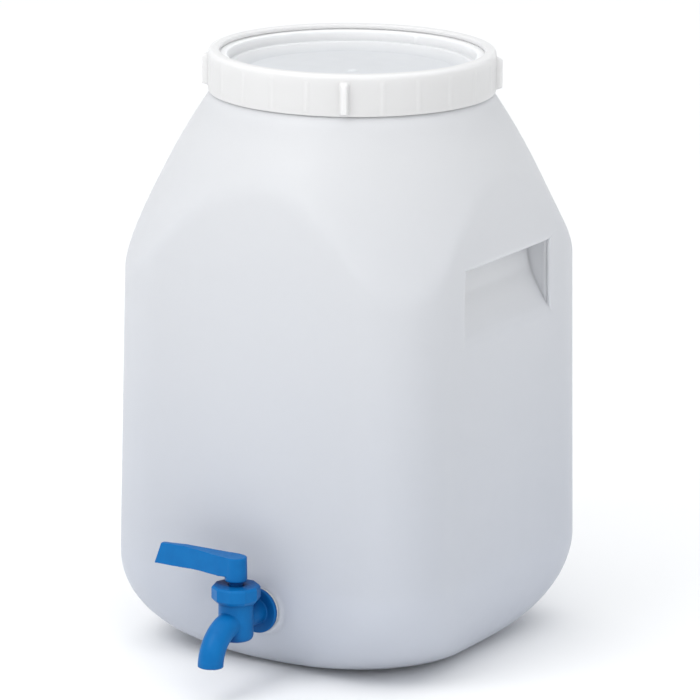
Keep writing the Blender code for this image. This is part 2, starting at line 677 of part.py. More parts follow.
def lever_section(share, narrowing, low, high):
    """A four-cornered section of the lever at a share of its length, slanted towards the tip."""
    at_boss, at_tip = HANDLE_RADIUS - GAP, HANDLE_TIP_THICKNESS / 2
    half = at_boss + (at_tip - at_boss) * narrowing
    foot = -HANDLE_LENGTH * share
    head = foot + HANDLE_TIP_SLANT * share
    return [(foot, -half, low), (head, -half, high), (head, half, high), (foot, half, low)]


def make_handle(parts, helpers, material):
    """A lever that is wide and low at the plug and thin and tall at its tip, on a round boss."""
    top = HANDLE_BASE + HANDLE_HEIGHT
    tip_top = top + HANDLE_TIP_RISE
    tip_low = tip_top - HANDLE_TIP_HEIGHT
    under = HANDLE_BASE + HANDLE_HEIGHT * LEVER_UNDERCUT
    waist = (under + tip_low) / 2 + HANDLE_HEIGHT * LEVER_ARCH
    stations = [
        (0, 0, under, top),
        (*LEVER_SHOULDER, under, top),
        (*LEVER_MIDDLE, waist, (top + tip_top) / 2),
        (*LEVER_NECK, tip_low + HANDLE_TIP_RISE / 2, tip_top - HANDLE_TIP_RISE / 4),
        (1, 1, tip_low, tip_top),
    ]
    handle = loft("tap_handle", [lever_section(*station) for station in stations], parts, BARREL_PLACE, material)
    soften(handle, HANDLE_EDGE)
    edge = 2 * HANDLE_EDGE
    inset = edge * (1 - sin(pi / 4))
    boss_profile = [
        (0, top),
        (HANDLE_RADIUS - edge, top),
        (HANDLE_RADIUS - inset, top - inset),
        (HANDLE_RADIUS, top - edge),
        (HANDLE_RADIUS, HANDLE_BASE + edge),
        (HANDLE_RADIUS - edge / 2, HANDLE_BASE),
        (0, HANDLE_BASE),
    ]
    combine(handle, "UNION", turned("handle_boss", boss_profile, helpers, where=BARREL_PLACE))
    side = STEM_SQUARE + 2 * GAP
    depth = HANDLE_SOCKET_DEPTH
    size = (side, side, depth + HANDLE_BASE)
    socket = box("handle_socket", size, (0, 0, HANDLE_BASE + depth - size[2] / 2), helpers, BARREL_PLACE)
    combine(handle, "DIFFERENCE", socket)


# ---- Everything ----


def clear_scene():
    for thing in list(bpy.data.objects):
        bpy.data.objects.remove(thing)


def main():
    clear_scene()
    parts = new_collection("detergent_dispenser_bottle")
    helpers = new_collection("cutters", is_helper=True)
    natural = plastic("natural_polyethylene", (0.72, 0.74, 0.78), 0.38, 0.9)
    white = plastic("white_polypropylene", (0.80, 0.79, 0.78), 0.35)
    frosted = plastic("frosted_polyethylene", (0.66, 0.69, 0.74), 0.35, 0.85)
    blue = plastic("blue_plastic", (0.012, 0.14, 0.45), 0.30)
    rubber = plastic("white_silicone", (0.62, 0.62, 0.60), 0.60)
    make_tank(parts, helpers, natural)
    make_ring(parts, helpers, white)
    make_inner_lid(parts, frosted)
    make_lid_gasket(parts, rubber)
    make_tap_body(parts, helpers, blue)
    make_clamp(parts, helpers, rubber, blue)
    make_bonnet(parts, helpers, blue)
    make_plug(parts, helpers, rubber, blue)
    make_handle(parts, helpers, blue)


main()
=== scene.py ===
"""Looks of the detergent canister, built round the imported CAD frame. Metres, +Z up, tap on the -Y face."""

from math import atan2, cos, hypot, pi, radians, sin, tan

import bmesh
import bpy
import numpy as np
from mathutils import Matrix, Vector


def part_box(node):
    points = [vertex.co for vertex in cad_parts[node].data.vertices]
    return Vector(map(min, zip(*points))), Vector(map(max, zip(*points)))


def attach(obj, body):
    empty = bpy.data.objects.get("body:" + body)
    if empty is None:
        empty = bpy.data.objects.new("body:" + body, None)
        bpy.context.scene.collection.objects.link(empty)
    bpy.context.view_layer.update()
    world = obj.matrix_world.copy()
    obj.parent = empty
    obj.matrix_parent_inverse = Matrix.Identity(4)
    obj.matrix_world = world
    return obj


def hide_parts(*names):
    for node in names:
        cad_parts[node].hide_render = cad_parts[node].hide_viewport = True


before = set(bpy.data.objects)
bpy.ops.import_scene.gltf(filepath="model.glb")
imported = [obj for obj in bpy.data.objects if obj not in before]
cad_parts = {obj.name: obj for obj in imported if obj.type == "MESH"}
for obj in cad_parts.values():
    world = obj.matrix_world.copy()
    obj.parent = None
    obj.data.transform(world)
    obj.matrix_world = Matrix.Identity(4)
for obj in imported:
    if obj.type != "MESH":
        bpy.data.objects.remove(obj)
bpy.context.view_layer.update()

# ---- Sizes, read from the frame where a node gives them ----

GAP = 0.0003  # running clearance between two pieces
TANK_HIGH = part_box("tank")[1]
RING_LOW, RING_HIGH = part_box("screw_ring")
LID_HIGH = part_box("inner_lid")[1]
GASKET_LOW, GASKET_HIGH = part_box("lid_gasket")
FLANGE_LOW, FLANGE_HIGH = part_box("tap_outer_gasket")
BONNET_LOW, BONNET_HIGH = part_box("tap_bonnet_nut")
HANDLE_LOW, HANDLE_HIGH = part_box("tap_handle")
BODY_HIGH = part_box("tap_body")[1]

# Tank
BODY_HALF = 0.1235
BASE_FLARE = 0.0056
CORNER_RADIUS = 0.0466
CORNER_GROWTH = 1.385  # how much the corner radius grows as the base rounds in
ROUNDING_HEIGHT = 0.0676
ROUNDING_INSET = 0.0432
WALL = 0.0028
SHELF = RING_LOW.z - 2 * GAP
RIM = TANK_HIGH.z
SHOULDER_RADIUS = 0.0965
TOP_FLARE = 0.68
FLARE = 0.495
FLARE_CURVE = 0.055
ARCH_BLEND = 0.0042  # softness of the edge where the dome meets the flat faces
NECK_RADIUS = 0.0913
NECK_WALL = 0.0030
POCKET_TOP = 0.2850
POCKET_FOOT = 0.2360
POCKET_DEPTH = 0.0200
POCKET_HALF = 0.0580
POCKET_EASE = 0.0040  # depth over which the rows of a handhold draw together
BELLY_DROP = 0.022  # from a handhold's top to where its back turns outwards
BELLY_SHARE = 0.80  # of the depth, at that height
PAD_RADIUS = 0.0172
PAD_FACE = -FLANGE_HIGH.y - GAP
PAD_DRAFT = 0.30
PAD_REACH = 0.010  # past the seat's radius, as far as it changes the wall
PAD_BLEND = 0.0030
TAP_HEIGHT = (FLANGE_LOW.z + FLANGE_HIGH.z) / 2
TAP_X = (BONNET_LOW.x + BONNET_HIGH.x) / 2
TAP_HOLE = 0.0110
MOUTH_LEAD = 0.0080
THREAD_TURNS = 1.25
THREAD_CREST = 0.0020
THREAD_BASE = 0.0034
THREAD_HEIGHT = 0.0024
THREAD_FOOT = 0.0033  # the neck's thread starts this far above the ring's foot

# Lid
RING_RADIUS = 0.0986
RING_INNER = 0.0945
RING_LIP = 0.0908
LIP_UNDERSIDE = RING_HIGH.z - 0.0032
LUG_HEIGHT = 0.0044
LUG_WIDTH = 0.0046
LUG_START = 0.49
GRIPS = 24
GRIPS_PER_LUG = 6
RIB_HEIGHT = 0.0005
RIB_WIDTH = 0.0030
LID_WALL = 0.0875  # outer radius of the inner lid's wall at its flange
LID_FOOT = 0.0863  # and at its foot
LID_SHEET = 0.0020
LEDGE_DROP = 0.0105  # below the top of the ring
DISC_DROP = 0.0158
DISC_RADIUS = 0.0735
NUB_RADIUS = 0.0030
INNER_RIB = 0.0007

# Tap
BARREL_Y = (BONNET_LOW.y + BONNET_HIGH.y) / 2
BARREL = Matrix.Translation((TAP_X, BARREL_Y, TAP_HEIGHT))
TAP_AXIS = Matrix.Translation((TAP_X, 0, TAP_HEIGHT)) @ Matrix.Rotation(pi / 2, 4, "X")
BARREL_RADIUS = 0.0119
SPOUT_RADIUS = 0.0087
SPOUT_BORE = 0.0062
SPOUT_REACH = 0.0315  # from the barrel's axis to the spout's
SPOUT_DROP = 0.0243
BARREL_TOP = 0.0217  # from the height of the tap's axis
BARREL_FLOOR = -0.0135
PLUG_BORE = 0.0093
SHANK_RADIUS = 0.0093
SHANK_BORE = 0.0060
TAP_NECK = 0.0090
TAP_FLANGE = 0.0158
FLANGE_THICKNESS = 0.0030
SHANK_LEAD = 0.0030
SHANK_THREAD = 0.0011
NUT_RADIUS = 0.01665
NUT_SIDES = 10
NUT_CHAMBER = 0.0133
STEM_HOLE = 0.0052
BOSS_RADIUS = 0.0077
SQUARE_HALF = 0.0036
LEVER_LEAN = 0.0055
LEVER_TIP_HEIGHT = 0.0150
TAP_VOXEL = 0.00042  # remeshing sizes: small enough to keep the mouldings' edges
NUT_VOXEL = 0.00034
LEVER_VOXEL = 0.00032


# ---- Mesh tools ----


def new_object(name, mesh, where=None):
    thing = bpy.data.objects.new(name, mesh)
    bpy.context.scene.collection.objects.link(thing)
    if where is not None:
        mesh.transform(where)
    return thing


def mesh_of(name, points, faces):
    mesh = bpy.data.meshes.new(name)
    mesh.from_pydata(points, [], faces)
    bm = bmesh.new()
    bm.from_mesh(mesh)
    bmesh.ops.recalc_face_normals(bm, faces=bm.faces)
    bm.to_mesh(mesh)
    bm.free()
    mesh.update()
    return mesh


def grid_faces(rows, columns, closed_rows=False):
    """Quads of a grid that wraps round its columns, and round its rows too if asked."""
    faces = []
    for i in range(rows if closed_rows else rows - 1):
        low, high = i * columns, ((i + 1) % rows) * columns
        for j in range(columns):
            k = (j + 1) % columns
            faces.append((low + j, low + k, high + k, high + j))
    return faces


def smooth(thing, angle=None):
    thing.data.shade_smooth()
    if angle is not None:
        thing.data.set_sharp_from_angle(angle=angle)
    return thing


def turned(name, profile, columns, displace=None, where=None, closed=True):
    """Turns (radius, z) rows about Z. displace(radius, angle, z, row) gives each point's own radius."""
    points = []
    rows = len(profile)
    for i, (radius, z) in enumerate(profile):
        for j in range(columns):
            angle = 2 * pi * j / columns
            r = displace(radius, angle, z, i) if displace else radius
            points.append((r * cos(angle), r * sin(angle), z))
    faces = grid_faces(rows, columns, closed)
    if not closed:
        for row, z in ((0, profile[0][1]), (rows - 1, profile[-1][1])):
            points.append((0, 0, z))
            centre = len(points) - 1
            for j in range(columns):
                faces.append((row * columns + j, row * columns + (j + 1) % columns, centre))
    return new_object(name, mesh_of(name, points, faces), where)


def rounded(corners, radii, steps=5):
    """A polyline through (u, v) corners, each rounded off by its own radius."""
    line = [Vector(corners[0])]
    for i in range(1, len(corners) - 1):
        before, here, after = (Vector(corners[k]) for k in (i - 1, i, i + 1))
        back, ahead = (before - here).normalized(), (after - here).normalized()
        radius = radii[i - 1]
        if radius <= 0:
            line.append(here)
            continue
        half = back.angle(ahead) / 2
        reach = min(radius / tan(half), (before - here).length * 0.49, (after - here).length * 0.49)
        for k in range(steps + 1):
            t = k / steps
            a, b = here + back * reach * (1 - t), here + ahead * reach * t
            line.append(a * (1 - t) + b * t)
    line.append(Vector(corners[-1]))
    return line


def refined(line, step):
    """The polyline with its long stretches cut into pieces of about one step."""
    out = [line[0]]
    for a, b in zip(line, line[1:]):
        n = max(1, round((b - a).length / step))
        out += [a.lerp(b, k / n) for k in range(1, n + 1)]
    return out


def cut(thing, other, operation="DIFFERENCE"):
    modifier = thing.modifiers.new(other.name, "BOOLEAN")
    modifier.operation = operation
    modifier.object = other
    modifier.solver = "EXACT"
    applied(thing)
    bpy.data.objects.remove(other)
    return thing


def applied(thing):
    """Bakes the modifiers into the mesh."""
    graph = bpy.context.evaluated_depsgraph_get()
    mesh = bpy.data.meshes.new_from_object(thing.evaluated_get(graph))
    thing.modifiers.clear()
    thing.data = mesh
    return thing


def melted(thing, voxel, rounds):
    """Remeshes a solid finely and smooths it, so that its corners get the fillets of a moulding."""
    remesh = thing.modifiers.new("remesh", "REMESH")
    remesh.mode = "VOXEL"
    remesh.voxel_size = voxel
    relax = thing.modifiers.new("relax", "SMOOTH")
    relax.factor = 0.5
    relax.iterations = rounds
    return smooth(applied(thing))


def step_up(low, high, x):
    t = min(max((x - low) / (high - low), 0), 1)
    return t * t * (3 - 2 * t)


def smaller(a, b, blend):
    h = max(blend - abs(a - b), 0) / blend
    return min(a, b) - h * h * blend / 4


def larger(a, b, blend):
    return -smaller(-a, -b, blend)


def thread_bump(angle, z, low, turns, lead):
    """Height of a right-hand helical ridge, from 0 to 1, at a point of the wall it stands on."""
    along = angle / (2 * pi)
    best = 0.0
    for turn in range(-1, int(turns) + 2):
        t = along + turn
        if t < 0 or t > turns:
            continue
        off = abs(z - (low + lead * t))
        flank = (THREAD_BASE - THREAD_CREST) / 2
        height = 1 - step_up(THREAD_CREST / 2, THREAD_CREST / 2 + flank, off)
        ends = step_up(0, 0.04, t) * step_up(0, 0.04, turns - t)
        best = max(best, height * ends)
    return best


# ---- Tank ----


def flat_half(z):
    return BODY_HALF + BASE_FLARE * (1 - z / SHELF)


def shoulder_radius(z):
    """Radius of the domed shoulder at height z."""
    drop = SHELF - z
    curved = min(drop, FLARE_CURVE)
    lost = (TOP_FLARE - FLARE) * curved * curved / 2 / FLARE_CURVE
    return SHOULDER_RADIUS + TOP_FLARE * curved - lost + FLARE * (drop - curved)


def square_at(z):
    """Half width and corner radius of the tank's column at height z."""
    if z >= ROUNDING_HEIGHT:
        return flat_half(z), CORNER_RADIUS
    up = 1 - z / ROUNDING_HEIGHT
    inset = ROUNDING_INSET * (1 - (max(0.0, 1 - up * up)) ** 0.5)
    half = flat_half(z) - inset
    return half, min(CORNER_RADIUS + CORNER_GROWTH * inset, half - 2 * GAP)


def pocket_rows():
    """(undisturbed height, depth, height) down the middle of a handhold, top to bottom."""
    corners = [
        (0, POCKET_TOP + 0.014),
        (0, POCKET_TOP),
        (-POCKET_DEPTH, POCKET_TOP),
        (-BELLY_SHARE * POCKET_DEPTH, POCKET_TOP - BELLY_DROP),
        (0, POCKET_FOOT),
        (0, POCKET_FOOT - 0.014),
    ]
    line = refined(rounded(corners, (0.0030, 0.0060, 0.0200, 0.0300)), 0.0018)
    lengths = np.concatenate([[0], np.cumsum([(b - a).length for a, b in zip(line, line[1:])])])
    top, foot = line[0].y, line[-1].y
    return [(top + (foot - top) * s / lengths[-1], -p.x, p.y) for s, p in zip(lengths, line)]


def pocket_columns():
    """(undisturbed y, share of the depth, y) across a handhold, from its middle to past its end."""
    corners = [
        (POCKET_DEPTH, 0),
        (POCKET_DEPTH, POCKET_HALF),
        (0, POCKET_HALF),
        (0, POCKET_HALF + 0.012),
    ]
    line = refined(rounded(corners, (0.0060, 0.0030)), 0.0017)
    middle = [p for p in line if p.y < POCKET_HALF - 0.012]
    kept = middle[::2] + [p for p in line if p.y >= POCKET_HALF - 0.012]
    reach = kept[-1].y
    start = POCKET_HALF - 0.012
    past = [p for p in kept if p.y >= start]
    lengths = np.concatenate([[0], np.cumsum([(b - a).length for a, b in zip(past, past[1:])])])
    first = past[0].y
    out = [(p.y, 1.0, p.y) for p in kept if p.y < start]
    for s, p in zip(lengths, past):
        out.append((first + (reach - first) * s / lengths[-1], p.x / POCKET_DEPTH, p.y))
    return out


def face_columns(side):
    """(fraction, pocket share, shift) of the columns along one flat face. side counts round from +X."""
    half, corner = square_at(POCKET_TOP)
    straight = half - corner
    if side in (0, 2):
        right = pocket_columns()
        whole = [(-y0, share, -y) for y0, share, y in reversed(right[1:])] + right
        step = (straight - whole[-1][0]) / 2
        ends = [(whole[-1][0] + step * k, 0.0, whole[-1][0] + step * k) for k in (1, 2)]
        whole = [(-a, b, -c) for a, b, c in reversed(ends)] + whole + ends
        return [(y0 / straight, share, y - y0) for y0, share, y in whole]
    fine = 0.036 if side == 3 else 0.0
    places = set(np.round(np.linspace(-straight, straight, 33), 5))
    if fine:
        places = {x for x in places if abs(x - TAP_X) > fine}
        places |= set(np.round(np.linspace(TAP_X - fine, TAP_X + fine, 61), 5))
    return [(x / straight, 0.0, 0.0) for x in sorted(places)]


def tank_columns():
    """(face, fraction or None, corner angle share, pocket share, shift) right round the tank."""
    columns = []
    for side in range(4):
        for fraction, share, shift in face_columns(side):
            columns.append((side, fraction, None, share, shift))
        for k in range(1, 14):
            columns.append((side, 1.0, k / 14, 0.0, 0.0))
    return columns


def on_square(column, z):
    side, fraction, corner_share, _, _ = column
    half, corner = square_at(z)
    straight = half - corner
    if corner_share is None:
        x, y = half, fraction * straight
    else:
        angle = pi / 2 * corner_share
        x, y = straight + corner * cos(angle), straight + corner * sin(angle)
    turn = side * pi / 2
    return x * cos(turn) - y * sin(turn), x * sin(turn) + y * cos(turn)


def tank_heights():
    """(undisturbed height, pocket depth, pocket height) from the base's edge up to the shelf."""
    z = [ROUNDING_HEIGHT * (1 - cos(a)) for a in np.linspace(0, 1.16, 34)]
    z += list(np.arange(z[-1] + 0.0012, 0.0800, 0.0014))
    rows = [(h, 0.0, h) for h in z]
    pocket = list(reversed(pocket_rows()))
    gap = pocket[0][0] - rows[-1][0]
    n = round(gap / 0.0050)
    start = rows[-1][0]
    rows += [(start + gap * k / n, 0.0, start + gap * k / n) for k in range(1, n)]
    rows += pocket
    start = rows[-1][0]
    rows += [(h, 0.0, h) for h in np.linspace(start, SHELF - 0.0012, 40)[1:]]
    return rows


def tank_point(column, row):
    z0, depth, z_in = row
    x, y = on_square(column, z0)
    radius = hypot(x, y)
    scale = smaller(radius, shoulder_radius(z0), ARCH_BLEND) / radius
    x, y, z = x * scale, y * scale, z0
    side, _, _, share, shift = column
    if share or shift:
        sign = 1 if side == 0 else -1
        present = step_up(0, POCKET_EASE, depth)
        x -= sign * depth * share
        y += sign * present * shift
        z += share * (z_in - z0)
    if side == 3 and z0 < 2 * TAP_HEIGHT:
        off = hypot(x - TAP_X, z - TAP_HEIGHT)
        seat = PAD_FACE - max(0.0, off - PAD_RADIUS) / PAD_DRAFT
        if off < PAD_RADIUS + PAD_REACH:
            y = -larger(-y, seat, PAD_BLEND)
    return x, y, z


def make_tank():
    columns = tank_columns()
    count = len(columns)
    points = []
    foot = [on_square(column, 0.0) for column in columns]
    for share in (0.25, 0.5, 0.75, 0.9):
        points += [(x * share, y * share, 0.0) for x, y in foot]
    for row in tank_heights():
        points += [tank_point(column, row) for column in columns]
    angles = [atan2(y, x) for x, y in (on_square(column, SHELF) for column in columns)]
    neck = rounded(
        [(shoulder_radius(SHELF - 0.0012), SHELF - 0.0012), (SHOULDER_RADIUS, SHELF), (NECK_RADIUS, SHELF)]
        + [(NECK_RADIUS, RIM), (NECK_RADIUS - NECK_WALL, RIM), (NECK_RADIUS - NECK_WALL, SHELF - 0.010)],
        (0.0008, 0.0006, 0.0008, 0.0008),
        3,
    )
    neck = refined(neck, 0.0007)[1:]
    neck = [p for p in neck if p.x > NECK_RADIUS - NECK_WALL + 1e-6 or p.y > RIM - 0.004]
    thread_low = RING_LOW.z + GAP + THREAD_FOOT + THREAD_BASE / 2
    for p in neck:
        for angle in angles:
            bump = 0.0
            if p.x > NECK_RADIUS - 0.0002 and SHELF + 0.0008 < p.y < RIM - 0.0008:
                bump = thread_bump(angle % (2 * pi), p.y, thread_low, THREAD_TURNS, MOUTH_LEAD)
            r = p.x + THREAD_HEIGHT * bump
            points.append((r * cos(angle), r * sin(angle), p.y))
    rows = len(points) // count
    inner = inner_rows(columns)
    for section in inner:
        points += section
    rows += len(inner)
    faces = grid_faces(rows, count)
    points.append((0.0, 0.0, 0.0))
    faces += [((j + 1) % count, j, len(points) - 1) for j in range(count)]
    points.append((0.0, 0.0, WALL))
    last = (rows - 1) * count
    faces += [(last + j, last + (j + 1) % count, len(points) - 1) for j in range(count)]
    tank = new_object("tank_shell", mesh_of("tank_shell", points, faces))
    hole = turned("tap_hole", [(TAP_HOLE, 0.10), (TAP_HOLE, 0.14)], 64, None, TAP_AXIS, closed=False)
    cut(tank, hole)
    mark_pockets(tank)
    return smooth(tank, radians(50))


def mark_pockets(tank):
    """Stores how deep each point lies in a handhold, from 0 to 1, for the material's painted light in the
    handholds.
    """
    depths = tank.data.attributes.new("painted_pocket_light", "FLOAT", "POINT")
    for vertex, depth in zip(tank.data.vertices, depths.data):
        x, y, z = vertex.co
        if POCKET_FOOT < z < POCKET_TOP + 0.002 and abs(y) < POCKET_HALF + 0.002:
            depth.value = min(max((flat_half(z) - abs(x)) / POCKET_DEPTH, 0), 1)


def inner_rows(columns):
    """The inside of the wall, from the neck down to the floor."""
    sections = []
    top = RIM - 0.004
    radius = NECK_RADIUS - NECK_WALL
    angles = [atan2(y, x) for x, y in (on_square(column, SHELF) for column in columns)]
    for z in np.linspace(top - 0.001, SHELF - WALL, 6):
        sections.append([(radius * cos(a), radius * sin(a), z) for a in angles])
    heights = tank_heights()
    down = [row for row in reversed(heights) if row[0] < SHELF - WALL - 0.004][::2]
    for row in down:
        if row[0] < WALL:
            continue
        section = []
        for column in columns:
            x, y, z = tank_point(column, row)
            reach = hypot(x, y)
            slope = 1.0 if row[0] > ROUNDING_HEIGHT else 1.35
            shrink = 1 - WALL * slope / reach
            section.append((x * shrink, y * shrink, z))
        sections.append(section)
    foot = sections[-1]
    height = foot[0][2]
    for share in (0.85, 0.5, 0.25):
        z = WALL + (height - WALL) * max(0, share - 0.5)
        sections.append([(x * share, y * share, z) for x, y, _ in foot])
    return sections


# ---- Lid ----


def grip_bump(angle, z):
    """How far a lug or rib stands out of the ring's wall."""
    step = 2 * pi / GRIPS
    place = round((angle - LUG_START) / step)
    off = abs(angle - LUG_START - place * step) * RING_RADIUS
    low, high = RING_LOW.z + 0.0010, RING_HIGH.z - 0.0052
    ends = step_up(low, low + 0.0016, z) * (1 - step_up(high - 0.0012, high + 0.0010, z))
    if place % GRIPS_PER_LUG == 0:
        return LUG_HEIGHT * (1 - step_up(LUG_WIDTH / 2 - 0.0009, LUG_WIDTH / 2 + 0.0009, off)) * ends
    return RIB_HEIGHT * (1 - step_up(0.0002, RIB_WIDTH / 2 + 0.0008, off)) * ends


def make_ring():
    top, low = RING_HIGH.z, RING_LOW.z
    outline = rounded(
        [(RING_INNER, LIP_UNDERSIDE), (RING_LIP, LIP_UNDERSIDE), (RING_LIP, top), (RING_RADIUS, top)]
        + [(RING_RADIUS, low), (RING_INNER, low), (RING_INNER, LIP_UNDERSIDE)],
        (0.0004, 0.0013, 0.0030, 0.0006, 0.0004),
    )
    line = refined(outline, 0.0009)[:-1]
    thread_low = low + GAP + THREAD_BASE / 2

    def displace(radius, angle, z, row):
        if radius > RING_RADIUS - 0.00002 and z < top - 0.003:
            return radius + grip_bump(angle, z)
        if abs(radius - RING_INNER) < 0.00002 and low + 0.0006 < z < LIP_UNDERSIDE - 0.0006:
            return radius - THREAD_HEIGHT * thread_bump(angle, z, thread_low, THREAD_TURNS, MOUTH_LEAD)
        return radius

    return smooth(turned("ring_moulding", line, 720, displace), radians(60))


def make_inner_lid():
    flange_top, flange_low = LID_HIGH.z, GASKET_HIGH.z + GAP
    wall, foot, thick = LID_WALL, LID_FOOT, LID_SHEET
    ledge, disc = RING_HIGH.z - LEDGE_DROP, RING_HIGH.z - DISC_DROP
    corners = [
        (0.0040, disc),
        (DISC_RADIUS, disc),
        (0.0807, ledge - 0.0010),
        (0.0817, ledge),
        (foot - thick, ledge),
        (wall - thick, flange_top),
        (LID_HIGH.x, flange_top),
        (LID_HIGH.x, flange_low),
        (wall, flange_low),
        (foot, ledge - thick),
        (0.0824, ledge - thick),
        (0.0742, disc - thick),
        (0.0040, disc - thick),
    ]
    radii = (0.0012, 0.0006, 0.0008, 0.0012, 0.0010, 0.0005, 0.0005, 0.0004, 0.0010, 0.0004, 0.0006)
    line = refined(rounded(corners, radii, 4), 0.0022)
    nub = [
        (0.0003, disc + 0.0012),
        (0.0018, disc + 0.0011),
        (NUB_RADIUS, disc + 0.0007),
        (0.0037, disc + 0.0002),
    ]
    base = [(NUB_RADIUS, disc - thick), (0.0003, disc - thick)]
    rows = [Vector(p) for p in nub] + line + [Vector(p) for p in base]

    def displace(radius, angle, z, row):
        """A slim rib stands on the inside of the wall, at the back."""
        on_wall = foot - thick - 0.0005 < radius < wall - thick + 0.0002
        if on_wall and ledge + 0.0004 < z < flange_top - 0.0006:
            off = abs(angle - pi / 2) * radius
            return radius - INNER_RIB * (1 - step_up(0.0005, 0.0014, off))
        return radius

    return smooth(turned("lid_moulding", rows, 480, displace, closed=False), radians(50))


def make_gasket(name, inner, outer, low, high, where=None, columns=160):
    start = (inner, (low + high) / 2)
    rows = rounded(
        [start, (inner, high), (outer, high), (outer, low), (inner, low), start],
        (0.0003, 0.0004, 0.0004, 0.0003),
        3,
    )[:-1]
    return smooth(turned(name, rows, columns, None, where), radians(60))


# ---- Tap ----


def swept(name, path, radius, where, columns=48):
    """A round bar along points in the plane x = 0."""
    points = []
    for i, p in enumerate(path):
        before, after = path[max(i - 1, 0)], path[min(i + 1, len(path) - 1)]
        along = (Vector(after) - Vector(before)).normalized()
        side = Vector((1, 0, 0))
        up = along.cross(side)
        for j in range(columns):
            a = 2 * pi * j / columns
            points.append(tuple(Vector(p) + side * (radius * cos(a)) + up * (radius * sin(a))))
    faces = grid_faces(len(path), columns)
    for row in (0, len(path) - 1):
        points.append(tuple(path[row]))
        first, centre = row * columns, len(points) - 1
        faces += [(first + j, first + (j + 1) % columns, centre) for j in range(columns)]
    return new_object(name, mesh_of(name, points, faces), where)


def spout_path(start, past):
    """A quarter bend from the barrel down to the spout's mouth, and straight on past it if asked."""
    path = []
    for i in range(25):
        a = pi / 2 * i / 24
        path.append((0, -(start + (SPOUT_REACH - start) * sin(a)), SPOUT_DROP * (cos(a) - 1)))
    if past:
        path.append((0, -SPOUT_REACH, -SPOUT_DROP - past))
    return path


def solid(name, profile, where, columns=96):
    return turned(name, profile, columns, None, where, closed=False)


def make_tap_body():
    top, floor = BARREL_TOP, BARREL_FLOOR
    barrel = rounded(
        [(0.0001, floor), (BARREL_RADIUS, floor), (BARREL_RADIUS, top), (0.0001, top)],
        (0.0040, 0.0004),
    )
    body = solid("tap_moulding", barrel, BARREL)
    flange_back = -FLANGE_LOW.y + GAP
    flange_face = flange_back + FLANGE_THICKNESS
    flange = rounded(
        [(0.0001, flange_back), (TAP_FLANGE, flange_back), (TAP_FLANGE, flange_face), (0.0001, flange_face)],
        (0.0002, 0.0010),
    )
    cut(body, solid("flange", flange, TAP_AXIS), "UNION")
    cut(body, solid("neck", [(TAP_NECK, flange_back), (TAP_NECK, -BARREL_Y)], TAP_AXIS), "UNION")
    cut(body, make_shank(flange_face - GAP), "UNION")
    cut(body, swept("spout", spout_path(0.0040, 0), SPOUT_RADIUS, BARREL), "UNION")
    cut(body, swept("spout_bore", spout_path(0.0040, 0.002), SPOUT_BORE, BARREL))
    cut(body, solid("shank_bore", [(SHANK_BORE, -BODY_HIGH.y - 0.001), (SHANK_BORE, -BARREL_Y)], TAP_AXIS))
    cut(body, solid("plug_bore", [(PLUG_BORE, -0.0105), (PLUG_BORE, 0.0250)], BARREL))
    return melted(body, TAP_VOXEL, 3)


def make_shank(end):
    start = -BODY_HIGH.y
    threaded = np.arange(start + 0.0004, start + 0.0125, 0.0004)
    rows = [(SHANK_RADIUS, z) for z in (start, *threaded, end)]

    def displace(radius, angle, z, row):
        phase = ((z - start) / SHANK_LEAD - angle / (2 * pi)) % 1
        ends = step_up(start, start + 0.0012, z) * (1 - step_up(start + 0.0105, start + 0.0120, z))
        return radius + SHANK_THREAD * (1 - step_up(0.13, 0.25, abs(phase - 0.5))) * ends

    return turned("shank", rows, 96, displace, TAP_AXIS, closed=False)


def make_bonnet():
    """The ten-sided nut, with a chamfer at its top and a deeper one below."""
    top, low = BONNET_HIGH.z - TAP_HEIGHT, BONNET_LOW.z - TAP_HEIGHT
    outer = NUT_RADIUS
    profile = [
        (0.0001, top),
        (outer - 0.0013, top),
        (outer, top - 0.0015),
        (outer, low + 0.0026),
        (outer - 0.0024, low),
        (0.0001, low),
    ]
    nut = turned("bonnet_moulding", profile, NUT_SIDES, None, BARREL, closed=False)
    cut(nut, solid("chamber", [(NUT_CHAMBER, low - 0.001), (NUT_CHAMBER, top - 0.0030)], BARREL))
    cut(nut, solid("stem_hole", [(STEM_HOLE, low), (STEM_HOLE, top + 0.001)], BARREL))
    return melted(nut, NUT_VOXEL, 2)


def lever_section(along, half, low, high, lean):
    """The lever's four corners at one station; its upper edge leans back towards the boss."""
    upper = -along + lean
    return [(-along, -half, low), (upper, -half, high), (upper, half, high), (-along, half, low)]


